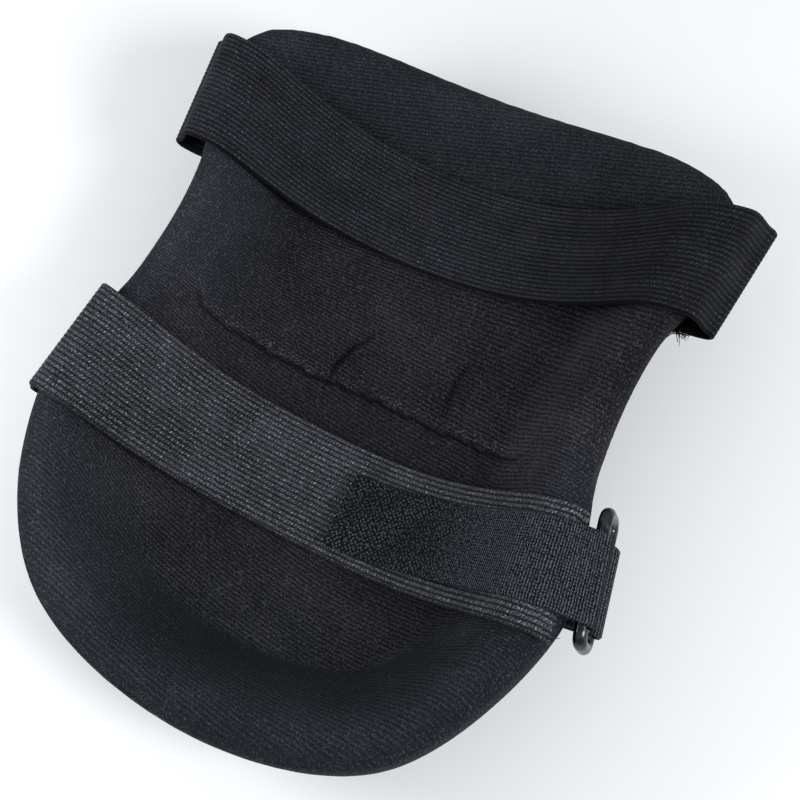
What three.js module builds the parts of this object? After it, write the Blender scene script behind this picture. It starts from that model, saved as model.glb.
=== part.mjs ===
// A hard shell knee pad, lying on its shell with the wearer's side up.
// A dished foam pad carries a moulded shell on its front. An elastic strap crosses the pad above the knee
// and another below it. The lower one ends in a hook tail that runs through a ring and folds back on itself.
// Millimetres, +Z up. The origin is the middle of the shell's flat kneeling face. +Y is the pad's upper end.

import * as THREE from "three";

// Half outline of the pad, from the end of the lobe to the middle of the upper edge.
const OUTLINE = [
  { at: "lobe end", x: 0, y: -114 },
  { at: "lobe quarter", x: 58, y: -98 },
  { at: "lobe side", x: 85.5, y: -46 },
  { at: "waist", x: 77, y: 3 },
  { at: "flare", x: 77, y: 42 },
  { at: "shoulder", x: 87, y: 80 },
  { at: "upper corner", x: 61, y: 101.5 },
  { at: "upper middle", x: 0, y: 105 },
];
const OUTLINE_STEPS = 5;

// Levels of the foam pad above the surface that the shell stands on.
const CLEARANCE = 0.3;
const SHELL_THICKNESS = 2.6;
const FOAM_BOTTOM = SHELL_THICKNESS + CLEARANCE;
const FLOOR_LEVEL = 14;
const UPPER_LIFT = 3;
const LOBE_LIFT = 5;
const SIDE_CREST = 53;
const UPPER_DROP = 16;
const LOBE_DROP = 7;
const LOBE_END_DROP = 8;
const TROUGH_RISE = 24;
const TROUGH_HALF_WIDTH = 77;
const CREASE_Y = OUTLINE[3].y;
const CREASE_DEPTH = 1.6;

// Distances in from the outline: the rim's crest, the foot of its inner wall and the edge of the flat front.
const CREST_IN = 9;
const CREST_ROUND = 8;
const LOBE_FOOT_IN = 33;
const LOBE_END_FOOT_IN = 31;
const UPPER_FOOT_IN = 26;
const LOBE_ROLL = 0.7;
const FRONT_RUN = 40;
const FRONT_POWER = 1.25;
const EDGE_THICKNESS = 5;
const EDGE_BULGE = 0.6;
const PAD_RINGS = [0.14, 0.29, 0.43, 0.55, 0.65, 0.73, 0.8, 0.86, 0.905, 0.94, 0.965, 0.985, 1];
const SHELL_RINGS = [0.2, 0.4, 0.5, 0.58, 0.66, 0.73, 0.8];
const FRONT_RINGS = [...SHELL_RINGS, 0.86, 0.92, 0.97, 1];

// Straps and webbing. A strap's ends fold at its span, and its rows run between an upper and a lower edge.
// Its edges bow towards the lobe, and a higher bow power keeps the bow flat for more of the way across.
const STRAP_THICKNESS = 1.6;
const STRAP_GAP = 0.6;
const UNDER_GAP = 0.95;
const LAYER_GAP = 0.35;
const LAYER = STRAP_THICKNESS + LAYER_GAP;
const MOST_STEEPNESS = 1.8;
const FOLD_RADIUS = 2.4;
const FOLD_LEVEL = 42;
const STRAP_ROWS = 5;
const STRAP_STEP = 3.4;
const SLACK_PASSES = 30;
const RIM_SHARE = 0.9;
const RIM_REACH = 1.5;
const TOP_STRAP = {
  upperY: 87.5, lowerY: 49.5, upperSpan: 95, lowerSpan: 90.5, tuck: 16,
  upperBow: -8, lowerBow: -4, bowPower: 2, tilt: 2,
};
const LOW_STRAP = {
  upperY: -9, lowerY: -47, upperSpan: 86.5, lowerSpan: 91.5, tuck: 16,
  upperBow: -5, lowerBow: -3, bowPower: 4, tilt: -2.2,
};
const LOW_STRAP_END = 0.92;
const TAIL = { upperY: -13.7, lowerY: -38.8, start: 0.5, turn: 0.96, end: 0.1, skew: 5 };
const TAB_TUCK = 15;
const TAB_FREE = 6;

// The rectangular wire ring at the end of the lower strap, hanging on the pad's right edge.
const RING_WIRE = 2;
const RING_LENGTH = 36.4;
const RING_DROP = 10;
const RING_LEAN = 1.5;
const RING_CORNER = 3;
const RING_SIDES = 10;
const RING_UPPER_LEVEL = 50;
const RING_SPAN_OFFSET = -0.4;
const RING_SLANT = 0.075;
const RING_MIDDLE_Y = -25.2;

const lerp = THREE.MathUtils.lerp;
const clamp = THREE.MathUtils.clamp;
const smoothstep = THREE.MathUtils.smoothstep;

// The whole outline as a closed curve through the half outline and its mirror image.
function makeOutline() {
  const right = OUTLINE.map((row) => new THREE.Vector3(row.x, row.y, 0));
  const left = right.slice(1, -1).reverse().map((p) => new THREE.Vector3(-p.x, p.y, 0));
  const corners = [...right, ...left];
  const curve = new THREE.CatmullRomCurve3(corners, true, "catmullrom", 0.5);
  return curve.getPoints(corners.length * OUTLINE_STEPS).slice(0, -1);
}
const outline = makeOutline();
const outlineLoop = [...outline, outline[0]];

// Distance in from the outline, zero on it and outside it.
function inFromEdge(x, y) {
  let nearest = Infinity;
  let inside = false;
  for (let i = 0; i < outline.length; i++) {
    const a = outlineLoop[i];
    const b = outlineLoop[i + 1];
    const along = clamp(
      ((x - a.x) * (b.x - a.x) + (y - a.y) * (b.y - a.y)) / ((b.x - a.x) ** 2 + (b.y - a.y) ** 2), 0, 1);
    const gap = Math.hypot(x - lerp(a.x, b.x, along), y - lerp(a.y, b.y, along));
    nearest = Math.min(nearest, gap);
    if (a.y > y !== b.y > y && x < a.x + ((b.x - a.x) * (y - a.y)) / (b.y - a.y)) inside = !inside;
  }
  return inside ? nearest : 0;
}

// 0 from the lower strap upwards and 1 in the lobe's end, over a run below the strap.
const inLobeEnd = (y, run) => smoothstep(-y, 52, 52 + run);

// Height of the rim's crest: highest along the sides, lower at the lobe's end and at the upper edge.
function crestLevel(x, y) {
  const side = clamp(Math.abs(x) / TROUGH_HALF_WIDTH, 0, 1) ** 2;
  const drop = lerp(LOBE_DROP, UPPER_DROP, smoothstep(y, -40, 85)) + LOBE_END_DROP * inLobeEnd(y, 53);
  return SIDE_CREST - drop * (1 - side);
}

// The wearer's side of the foam: a trough along Y inside a rounded rim, which rolls down to a sharper foot in
// the lobe's end.
function innerLevel(x, y) {
  const depth = inFromEdge(x, y);
  const crest = crestLevel(x, y);
  if (depth < CREST_IN) {
    const out = (CREST_IN - depth) / CREST_IN;
    return crest - CREST_ROUND * (1 - Math.sqrt(Math.max(0, 1 - out * out)));
  }
  const floor = FLOOR_LEVEL + UPPER_LIFT * smoothstep(y, -20, 80) + LOBE_LIFT * smoothstep(-y, 40, 95);
  const trough = TROUGH_RISE * Math.min(1, Math.abs(x) / TROUGH_HALF_WIDTH) ** 2;
  const lobeFoot = lerp(LOBE_FOOT_IN, LOBE_END_FOOT_IN, inLobeEnd(y, 26));
  const foot = lerp(lobeFoot, UPPER_FOOT_IN, smoothstep(y, 0, 80));
  const climb = clamp((foot - depth) / (foot - CREST_IN), 0, 1);
  const roll = 1 - (1 - climb) ** 2;
  const wall = lerp(smoothstep(climb, 0, 1), roll, LOBE_ROLL * inLobeEnd(y, 26));
  return floor + trough + (crest - floor - trough) * wall;
}

// The front of the foam: flat in the middle, rising to the edge.
function frontLevel(x, y) {
  const edge = crestLevel(x, y) - CREST_ROUND - EDGE_THICKNESS;
  const rise = Math.max(0, 1 - inFromEdge(x, y) / FRONT_RUN) ** FRONT_POWER;
  return FOAM_BOTTOM + (edge - FOAM_BOTTOM) * rise;
}

function solid(points, triangles) {
  const geometry = new THREE.BufferGeometry();
  const places = points.flatMap((p) => [p.x, p.y, p.z]);
  geometry.setAttribute("position", new THREE.Float32BufferAttribute(places, 3));
  geometry.setIndex(triangles.flat());
  geometry.computeVertexNormals();
  return geometry;
}

// Two triangles for each cell between neighbouring loops of equal length. From the turning loop on, the
// cells are split the other way, so that skins that face each other are split alike.
function bandBetween(loops, count, turning = loops) {
  const triangles = [];
  for (let k = 0; k + 1 < loops; k++) {
    for (let j = 0; j < count; j++) {
      const next = (j + 1) % count;
      const [a, b, c, d] = [k * count + j, k * count + next, (k + 1) * count + next, (k + 1) * count + j];
      if (k < turning) triangles.push([a, c, b], [a, d, c]);
      else triangles.push([a, d, b], [b, d, c]);
    }
  }
  return triangles;
}

// A closed skin from an upper middle point, out over a stack of loops and back to a lower middle point.
function lensSolid(upperLoops, lowerLoops, upperMiddle, lowerMiddle) {
  const loops = [...upperLoops, ...lowerLoops];
  const count = loops[0].length;
  const points = [...loops.flat(), upperMiddle, lowerMiddle];
  const triangles = bandBetween(loops.length, count, upperLoops.length);
  const last = (loops.length - 1) * count;
  for (let j = 0; j < count; j++) {
    const next = (j + 1) % count;
    triangles.push([points.length - 2, j, next], [points.length - 1, last + next, last + j]);
  }
  return solid(points, triangles);
}

// The outline drawn in to a share of its size about the middle of the crease. A level function gives heights.
function loopAt(share, level, push = 0) {
  return outline.map((p) => {
    const arm = new THREE.Vector2(p.x, p.y - CREASE_Y);
    arm.setLength(arm.length() * share + push);
    return new THREE.Vector3(arm.x, arm.y + CREASE_Y, level(arm.x, arm.y + CREASE_Y));
  });
}

// The crease pressed across the wearer's side of the foam follows the two rays that run along X.
function creasedLevel(x, y) {
  const onCrease = Math.abs(y - CREASE_Y) < 0.01 && inFromEdge(x, y) > CREST_IN;
  return innerLevel(x, y) - (onCrease ? CREASE_DEPTH : 0);
}

function foamPad() {
  const upper = PAD_RINGS.map((share) => loopAt(share, creasedLevel, share === 1 ? -EDGE_BULGE : 0));
  const edgeLevel = (x, y) => crestLevel(x, y) - CREST_ROUND - EDGE_THICKNESS / 2;
  const edge = loopAt(1, edgeLevel);
  const lower = [...FRONT_RINGS].reverse()
    .map((share) => loopAt(share, frontLevel, share === 1 ? -EDGE_BULGE : 0));
  const middleTop = new THREE.Vector3(0, CREASE_Y, creasedLevel(0, CREASE_Y));
  const middleFront = new THREE.Vector3(0, CREASE_Y, frontLevel(0, CREASE_Y));
  return lensSolid([...upper, edge], lower, middleTop, middleFront);
}

function hardShell() {
  const inner = (x, y) => frontLevel(x, y) - CLEARANCE;
  const outer = (x, y) => inner(x, y) - SHELL_THICKNESS;
  const upper = SHELL_RINGS.map((share) => loopAt(share, inner));
  const lower = [...SHELL_RINGS].reverse().map((share) => loopAt(share, outer));
  const middleTop = new THREE.Vector3(0, CREASE_Y, inner(0, CREASE_Y));
  const middleFront = new THREE.Vector3(0, CREASE_Y, outer(0, CREASE_Y));
  return lensSolid(upper, lower, middleTop, middleFront);
}

// A band of even thickness. Each row across its width is a path of points in a plane of its own.
function ribbon(rows, thickness) {
  const upper = [];
  const lower = [];
  for (const row of rows) {
    row.forEach((p, i) => {
      const before = row[Math.max(0, i - 1)];
      const after = row[Math.min(row.length - 1, i + 1)];
      const normal = new THREE.Vector3(before.z - after.z, 0, after.x - before.x).setLength(thickness / 2);
      upper.push(p.clone().add(normal));
      lower.push(p.clone().sub(normal));
    });
  }
  const across = rows.length;
  const along = rows[0].length;
  const under = upper.length;
  const triangles = [];
  const quad = (a, b, c, d) => triangles.push([a, b, c], [a, c, d]);
  for (let k = 0; k + 1 < across; k++) {
    for (let i = 0; i + 1 < along; i++) {
      const [a, b, c, d] = [k * along + i, k * along + i + 1, (k + 1) * along + i + 1, (k + 1) * along + i];
      quad(a, d, c, b);
      quad(under + a, under + b, under + c, under + d);
    }
  }
  for (let i = 0; i + 1 < along; i++) {
    const far = (across - 1) * along + i;
    quad(i, i + 1, under + i + 1, under + i);
    quad(far + 1, far, under + far, under + far + 1);
  }
  for (let k = 0; k + 1 < across; k++) {
    const near = k * along;
    const end = near + along - 1;
    quad(near, under + near, under + near + along, near + along);
    quad(end, end + along, under + end + along, under + end);
  }
  return solid([...upper, ...lower], triangles);
}

// Where a strap's row lies across its width: 0 on its upper edge and 1 on its lower edge.
function rowShares(count) {
  return Array.from({ length: count }, (_, k) => k / (count - 1));
}
const rowY = (strap, share) => lerp(strap.upperY, strap.lowerY, share);
const rowSpan = (strap, share) => lerp(strap.upperSpan, strap.lowerSpan, share);
const shiftAt = (strap, share, u) =>
  lerp(strap.upperBow, strap.lowerBow, share) * (1 - Math.abs(u) ** strap.bowPower) + strap.tilt * u;

const rowReach = (strap, share) => rowSpan(strap, share) - FOLD_RADIUS - STRAP_THICKNESS / 2;

// How much more height a slope needs than a level place to hold a layer of the same thickness.
function steepness(level, place, step) {
  const slope = (level(place + step) - level(place - step)) / (2 * step);
  return Math.min(MOST_STEEPNESS, Math.hypot(1, slope));
}

// Lowest heights of a strap's middle layer above the foam, at a share u of the strap's half span.
function foamSupport(strap) {
  return (u) => {
    let top = 0;
    for (const share of rowShares(2 * STRAP_ROWS - 1)) {
      const x = u * rowReach(strap, share);
      const y = rowY(strap, share) + shiftAt(strap, share, u);
      const near = Math.abs(u) > RIM_SHARE ? Math.sign(x) * RIM_REACH : 0;
      if (inFromEdge(x - near, y) === 0) continue;
      const lift = (STRAP_GAP + STRAP_THICKNESS / 2) * steepness((place) => innerLevel(place, y), x, 0.5);
      top = Math.max(top, innerLevel(x - near, y) + lift);
    }
    return top > 0 ? top : FOLD_LEVEL + FOLD_RADIUS;
  };
}

// A band laid on its supports and let go slack over the hollows between them.
function drape(strap, support) {
  const steps = Math.round((2 * strap.upperSpan) / STRAP_STEP);
  const lowest = Array.from({ length: steps + 1 }, (_, i) => support(-1 + (2 * i) / steps));
  let level = [...lowest];
  for (let pass = 0; pass < SLACK_PASSES; pass++) {
    level = level.map((z, i) =>
      i === 0 || i === steps ? z : Math.max(lowest[i], (level[i - 1] + z + level[i + 1]) / 3));
  }
  return (u) => {
    const place = clamp(((u + 1) / 2) * steps, 0, steps - 1e-6);
    const i = Math.floor(place);
    return lerp(level[i], level[i + 1], place - i);
  };
}

// The lowest heights of one more layer on a band that is already laid.
function layerSupport(strap, base) {
  const reach = rowReach(strap, 0.5);
  return (u) => base(u) + LAYER * steepness((x) => base(x / reach), u * reach, STRAP_STEP / 2);
}

// Height of a layer sewn under the foam's sloping edge, with a number of layers already between.
function underFoam(x, y, layers) {
  const alongX = steepness((place) => frontLevel(place, y), x, 0.5);
  const alongY = steepness((place) => frontLevel(x, place), y, 0.5);
  const steep = Math.hypot(alongX, Math.sqrt(alongY ** 2 - 1));
  return frontLevel(x, y) - (UNDER_GAP + STRAP_THICKNESS / 2 + layers * LAYER) * steep;
}

// A strap's end on the side given by its sign: sewn under the foam's edge, then out to the fold and round it.
function foldedEnd(strap, share, side) {
  const y = rowY(strap, share) + shiftAt(strap, share, side);
  const reach = rowReach(strap, share);
  const tuckSteps = 5;
  const arcSteps = 6;
  const points = [];
  for (let i = 0; i <= tuckSteps; i++) {
    const x = reach - lerp(strap.tuck, FOLD_RADIUS, i / tuckSteps);
    points.push(new THREE.Vector3(side * x, y, Math.min(underFoam(x, y, 0), FOLD_LEVEL - FOLD_RADIUS)));
  }
  for (let i = 0; i < arcSteps; i++) {
    const turn = -Math.PI / 2 + (Math.PI * i) / arcSteps;
    const x = reach + FOLD_RADIUS * Math.cos(turn);
    points.push(new THREE.Vector3(side * x, y, FOLD_LEVEL + FOLD_RADIUS * Math.sin(turn)));
  }
  return points;
}

function acrossPad(strap, share, level, from, to, skew = 0) {
  const y = rowY(strap, share);
  const reach = rowReach(strap, share);
  const steps = Math.round(((to - from) * strap.upperSpan) / STRAP_STEP);
  return Array.from({ length: steps + 1 }, (_, i) => {
    const u = lerp(from, to, i / steps);
    return new THREE.Vector3(u * reach, y + shiftAt(strap, share, u) - skew * (1 - u), level(u));
  });
}

function topStrap() {
  const level = drape(TOP_STRAP, foamSupport(TOP_STRAP));
  return ribbon(rowShares(STRAP_ROWS).map((share) => [
    ...foldedEnd(TOP_STRAP, share, -1),
    ...acrossPad(TOP_STRAP, share, level, -1, 1),
    ...foldedEnd(TOP_STRAP, share, 1).reverse(),
  ]), STRAP_THICKNESS);
}

// The start of the tail is sewn under the lower strap's end, and the tail's free end lies on the strap.
const tailBed = foamSupport(LOW_STRAP);
const startLevel = drape(LOW_STRAP, tailBed);
const onStart = layerSupport(LOW_STRAP, startLevel);
const lowLevel = drape(LOW_STRAP, (u) =>
  lerp(tailBed(u), onStart(u), smoothstep(u, TAIL.start - 0.14, TAIL.start - 0.04)));
const freeLevel = drape(LOW_STRAP, layerSupport(LOW_STRAP, lowLevel));

function lowStrap() {
  return ribbon(rowShares(STRAP_ROWS).map((share) => [
    ...foldedEnd(LOW_STRAP, share, -1),
    ...acrossPad(LOW_STRAP, share, lowLevel, -1, LOW_STRAP_END),
  ]), STRAP_THICKNESS);
}

// Centre of the ring's upper bar at a height along the pad: the bar leans a little more than the strap's end.
function ringX(y) {
  const share = (y - LOW_STRAP.upperY) / (LOW_STRAP.lowerY - LOW_STRAP.upperY);
  return rowSpan(LOW_STRAP, share) + RING_SPAN_OFFSET + RING_SLANT * (RING_MIDDLE_Y - y);
}
const WRAP_RADIUS = RING_WIRE + LAYER_GAP + STRAP_THICKNESS / 2;

function arc(x, y, z, radius, from, to, steps) {
  return Array.from({ length: steps + 1 }, (_, i) => {
    const turn = lerp(from, to, i / steps);
    return new THREE.Vector3(x + radius * Math.cos(turn), y, z + radius * Math.sin(turn));
  });
}

// The tail runs out under the strap, down inside the ring's upper bar, round it and back over the strap.
function hookTail() {
  const rowsAcross = 4;
  return ribbon(rowShares(rowsAcross).map((part) => {
    const y = rowY(TAIL, part);
    const share = (y - LOW_STRAP.upperY) / (LOW_STRAP.lowerY - LOW_STRAP.upperY);
    const under = acrossPad(LOW_STRAP, share, startLevel, TAIL.start, TAIL.turn);
    const over = acrossPad(LOW_STRAP, share, freeLevel, TAIL.end, LOW_STRAP_END, TAIL.skew);
    const turnY = y + LOW_STRAP.tilt;
    const wrap = arc(ringX(y), turnY, RING_UPPER_LEVEL, WRAP_RADIUS, Math.PI, Math.PI * 2.6, 12);
    return [...under, ...wrap, ...over.reverse()];
  }), STRAP_THICKNESS);
}

// The tab is sewn under the foam's edge by both its ends, one on the other, and loops round the lower bar.
function ringTab() {
  const rowsAcross = 4;
  const steps = 4;
  return ribbon(rowShares(rowsAcross).map((part) => {
    const y = rowY(TAIL, part);
    const turnY = y + LOW_STRAP.tilt;
    const x = ringX(y) + RING_LEAN;
    const level = RING_UPPER_LEVEL - RING_DROP;
    const along = (layers) => Array.from({ length: steps + 1 }, (_, i) => {
      const place = x - WRAP_RADIUS - lerp(TAB_TUCK, TAB_FREE, i / steps);
      return new THREE.Vector3(place, turnY, underFoam(place, turnY, layers));
    });
    const loop = arc(x, turnY, level, WRAP_RADIUS, Math.PI * 0.95, -Math.PI * 0.55, 10);
    return [...along(0), ...loop, ...along(1).reverse()];
  }), STRAP_THICKNESS);
}

// A closed wire along a rounded rectangle hung between the two bars.
function ringLoop() {
  const start = new THREE.Vector3(ringX(RING_MIDDLE_Y), RING_MIDDLE_Y + LOW_STRAP.tilt, RING_UPPER_LEVEL);
  const alongBar = new THREE.Vector3(ringX(RING_MIDDLE_Y - 1) - ringX(RING_MIDDLE_Y), -1, 0).normalize();
  const down = new THREE.Vector3(RING_LEAN, 0, -RING_DROP);
  const drop = down.length();
  down.normalize();
  const facing = new THREE.Vector3().crossVectors(alongBar, down).normalize();
  const half = RING_LENGTH / 2 - RING_CORNER;
  const corners = [
    { a: half, b: RING_CORNER, turn: -Math.PI / 2 },
    { a: half, b: drop - RING_CORNER, turn: 0 },
    { a: -half, b: drop - RING_CORNER, turn: Math.PI / 2 },
    { a: -half, b: RING_CORNER, turn: Math.PI },
  ];
  const cornerSteps = 4;
  const loops = [];
  for (const corner of corners) {
    for (let i = 0; i <= cornerSteps; i++) {
      const turn = corner.turn + (Math.PI / 2) * (i / cornerSteps);
      const outward = alongBar.clone().multiplyScalar(Math.cos(turn)).addScaledVector(down, Math.sin(turn));
      const centre = start.clone().addScaledVector(alongBar, corner.a).addScaledVector(down, corner.b)
        .addScaledVector(outward, RING_CORNER);
      loops.push(Array.from({ length: RING_SIDES }, (_, j) => {
        const round = (2 * Math.PI * j) / RING_SIDES;
        return centre.clone().addScaledVector(outward, RING_WIRE * Math.cos(round))
          .addScaledVector(facing, RING_WIRE * Math.sin(round));
      }));
    }
  }
  return solid(loops.flat(), bandBetween(loops.length + 1, RING_SIDES)
    .map((t) => t.map((v) => v % (loops.length * RING_SIDES))));
}

const materials = {
  lining: new THREE.MeshStandardMaterial({ color: 0x1b1c1f, roughness: 0.95 }),
  shell: new THREE.MeshStandardMaterial({ color: 0x141416, roughness: 0.5 }),
  elastic: new THREE.MeshStandardMaterial({ color: 0x1d1e24, roughness: 0.85 }),
  webbing: new THREE.MeshStandardMaterial({ color: 0x1a1c22, roughness: 0.85 }),
  metal: new THREE.MeshStandardMaterial({ color: 0x2e2f31, roughness: 0.3, metalness: 0.9 }),
};

const kneePad = new THREE.Group();
function add(name, geometry, material) {
  const mesh = new THREE.Mesh(geometry, material);
  mesh.name = name;
  kneePad.add(mesh);
}
add("foam_pad", foamPad(), materials.lining);
add("hard_shell", hardShell(), materials.shell);
add("top_strap", topStrap(), materials.elastic);
add("low_strap", lowStrap(), materials.elastic);
add("hook_tail", hookTail(), materials.webbing);
add("ring_tab", ringTab(), materials.webbing);
add("ring", ringLoop(), materials.metal);

export default kneePad;
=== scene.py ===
"""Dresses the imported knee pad: knit lining, ribbed elastic, hook tail, wire ring and moulded shell."""
import math

import bpy
import numpy as np
from mathutils import Matrix, Vector


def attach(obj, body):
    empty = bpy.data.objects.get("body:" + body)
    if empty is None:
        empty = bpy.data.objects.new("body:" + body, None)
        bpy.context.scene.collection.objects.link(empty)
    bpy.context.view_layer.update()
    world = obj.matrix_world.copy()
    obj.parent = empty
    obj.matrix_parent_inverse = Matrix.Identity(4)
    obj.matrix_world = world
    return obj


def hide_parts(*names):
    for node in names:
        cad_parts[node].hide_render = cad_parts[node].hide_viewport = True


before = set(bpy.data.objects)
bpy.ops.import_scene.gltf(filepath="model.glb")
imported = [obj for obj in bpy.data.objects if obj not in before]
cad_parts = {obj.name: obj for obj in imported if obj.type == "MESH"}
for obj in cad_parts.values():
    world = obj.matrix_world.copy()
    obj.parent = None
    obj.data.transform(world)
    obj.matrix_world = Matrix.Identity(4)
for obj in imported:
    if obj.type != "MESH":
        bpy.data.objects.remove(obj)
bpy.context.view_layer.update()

# Sizes in millimetres, the same as those of the solids.
OUTLINE = [
    # x, y, curve steps to the next point
    (0, -114, 24),
    (58, -98, 24),
    (85.5, -46, 64),
    (77, 3, 56),
    (77, 42, 24),
    (87, 80, 24),
    (61, 101.5, 24),
    (0, 105, 24),
]
CLEARANCE = 0.3
SHELL_THICKNESS = 2.6
FOAM_BOTTOM = SHELL_THICKNESS + CLEARANCE
FLOOR_LEVEL = 14
UPPER_LIFT = 3
LOBE_LIFT = 5
SIDE_CREST = 53
UPPER_DROP = 16
LOBE_DROP = 7
LOBE_END_DROP = 8
LOBE_END_START = 52
LOBE_DROP_RUN = 53
LOBE_ROLL_RUN = 26
TROUGH_RISE = 24
TROUGH_HALF_WIDTH = 77
CENTRE_Y = 1.8
CREST_IN = 9
CREST_ROUND = 8
LOBE_FOOT_IN = 33
LOBE_END_FOOT_IN = 31
UPPER_FOOT_IN = 26
LOBE_ROLL = 0.7
FRONT_RUN = 40
FRONT_POWER = 1.25
EDGE_THICKNESS = 5
EDGE_ROUND = 1.4
KNIT_FUZZ = 0.07
SHELL_SHARE = 0.8
SHELL_EDGE_ROUND = 0.8

# Stretches of Y in which a height of the pad changes, the lobe's one counted downwards.
CREST_STRETCH = (-40, 85)
UPPER_LIFT_STRETCH = (-20, 80)
LOBE_LIFT_STRETCH = (40, 95)
FOOT_STRETCH = (0, 80)

STRAP_THICKNESS = 1.6
STRAP_GAP = 0.6
UNDER_GAP = 0.95
LAYER_GAP = 0.35
LAYER = STRAP_THICKNESS + LAYER_GAP
MOST_STEEPNESS = 1.8
MOST_UNDER_STEEPNESS = 2.3
SLOPE_STEP = 0.5
FOLD_RADIUS = 2.4
FOLD_LEVEL = 42
RIM_SHARE = 0.9
RIM_REACH = 1.5
SLACK_PASSES = 350
TOP_STRAP = dict(
    upper_y=87.5, lower_y=49.5, upper_span=95, lower_span=90.5, tuck=16,
    upper_bow=-8, lower_bow=-4, bow_power=2, tilt=2)
LOW_STRAP = dict(
    upper_y=-9, lower_y=-47, upper_span=86.5, lower_span=91.5, tuck=16,
    upper_bow=-5, lower_bow=-3, bow_power=4, tilt=-2.2)
LOW_STRAP_END = 0.92
TAIL = dict(upper_y=-13.7, lower_y=-38.8, start=0.5, turn=0.96, end=0.1, skew=5)
TAB_TUCK = 15
TAB_FREE = 6
RING_WIRE = 2
RING_LENGTH = 36.4
RING_DROP = 10
RING_LEAN = 1.5
RING_CORNER = 3
RING_UPPER_LEVEL = 50
RING_SPAN_OFFSET = -0.4
RING_SLANT = 0.075
RING_MIDDLE_Y = -25.2
WRAP_RADIUS = RING_WIRE + LAYER_GAP + STRAP_THICKNESS / 2

TOP_RIBS = 26
LOW_RIBS = 24
WEBBING_RIBS = 18
ELASTIC_WIDTH = 38
RIB_HEIGHT = 0.15
WEBBING_RIB_HEIGHT = 0.05
THREAD_RADIUS = 0.17
MM = 0.001

# Pitches of the weaves in metres, as the materials read them.
THREAD_PITCH = 0.00105
HOOK_PITCH = 0.0017
WEBBING_RIB = 0.00082
WEBBING_THREAD = 0.0009


def lerp(a, b, t):
    return a + (b - a) * t


def smoothstep(value, low, high):
    t = np.clip((value - low) / (high - low), 0, 1)
    return t * t * (3 - 2 * t)


def bell(distance, width):
    return np.exp(-((distance / width) ** 2))


# Form of the pad

def make_outline():
    """A smooth closed curve through the outline's points and their mirror images."""
    left = [(-OUTLINE[i][0], OUTLINE[i][1], OUTLINE[i - 1][2]) for i in range(len(OUTLINE) - 2, 0, -1)]
    corners = OUTLINE + left
    points = []
    count = len(corners)
    for i in range(count):
        before, here, after, beyond = (np.array(corners[(i + k) % count][:2], float) for k in (-1, 0, 1, 2))
        for step in range(corners[i][2]):
            t = step / corners[i][2]
            points.append(0.5 * (
                2 * here + (after - before) * t + (2 * before - 5 * here + 4 * after - beyond) * t ** 2
                + (3 * here - before - 3 * after + beyond) * t ** 3))
    return np.array(points)


outline = make_outline()
outline_next = np.roll(outline, -1, axis=0)
BATCH = 4000
TINY = 1e-9


def in_from_edge(x, y):
    """Distance in from the outline, zero on it and outside it."""
    x, y = np.broadcast_arrays(np.asarray(x, float), np.asarray(y, float))
    flat = np.stack([x.ravel(), y.ravel()], 1)
    found = np.empty(len(flat))
    side = outline_next - outline
    length = (side ** 2).sum(1)
    for start in range(0, len(flat), BATCH):
        p = flat[start:start + BATCH, None, :]
        along = np.clip(((p - outline) * side).sum(2) / length, 0, 1)
        gap = np.sqrt(((p - outline - along[..., None] * side) ** 2).sum(2)).min(1)
        a_y, b_y = outline[:, 1], outline_next[:, 1]
        rise = np.where(b_y == a_y, TINY, b_y - a_y)
        crossing = (a_y > p[..., 1]) != (b_y > p[..., 1])
        to_left = p[..., 0] < outline[:, 0] + side[:, 0] * (p[..., 1] - a_y) / rise
        inside = (crossing & to_left).sum(1) % 2 == 1
        found[start:start + BATCH] = np.where(inside, gap, 0)
    return found.reshape(x.shape)


def in_lobe_end(y, run):
    """0 from the lower strap upwards and 1 in the lobe's end, over a run below the strap."""
    return smoothstep(-np.asarray(y), LOBE_END_START, LOBE_END_START + run)


def crest_level(x, y):
    side = np.clip(np.abs(x) / TROUGH_HALF_WIDTH, 0, 1) ** 2
    drop = lerp(LOBE_DROP, UPPER_DROP, smoothstep(y, *CREST_STRETCH))
    drop = drop + LOBE_END_DROP * in_lobe_end(y, LOBE_DROP_RUN)
    return SIDE_CREST - drop * (1 - side)


def inner_level(x, y):
    """The wearer's side of the foam: a trough along Y in a rounded rim that rolls down at the lobe's end."""
    depth = in_from_edge(x, y)
    crest = crest_level(x, y)
    out = np.clip((CREST_IN - depth) / CREST_IN, 0, 1)
    rim = crest - CREST_ROUND * (1 - np.sqrt(1 - out * out))
    floor = FLOOR_LEVEL + UPPER_LIFT * smoothstep(y, *UPPER_LIFT_STRETCH)
    floor = floor + LOBE_LIFT * smoothstep(-y, *LOBE_LIFT_STRETCH)
    trough = TROUGH_RISE * np.minimum(1, np.abs(x) / TROUGH_HALF_WIDTH) ** 2
    lobe_foot = lerp(LOBE_FOOT_IN, LOBE_END_FOOT_IN, in_lobe_end(y, LOBE_ROLL_RUN))
    foot = lerp(lobe_foot, UPPER_FOOT_IN, smoothstep(y, *FOOT_STRETCH))
    climb = np.clip((foot - depth) / (foot - CREST_IN), 0, 1)
    roll = 1 - (1 - climb) ** 2
    wall = lerp(smoothstep(climb, 0, 1), roll, LOBE_ROLL * in_lobe_end(y, LOBE_ROLL_RUN))
    return np.where(depth < CREST_IN, rim, floor + trough + (crest - floor - trough) * wall)


def front_level(x, y):
    """The front of the foam: flat in the middle, rising to the edge."""
    edge = crest_level(x, y) - CREST_ROUND - EDGE_THICKNESS
    rise = np.maximum(0, 1 - in_from_edge(x, y) / FRONT_RUN) ** FRONT_POWER
    return FOAM_BOTTOM + (edge - FOAM_BOTTOM) * rise


# Meshes

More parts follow.
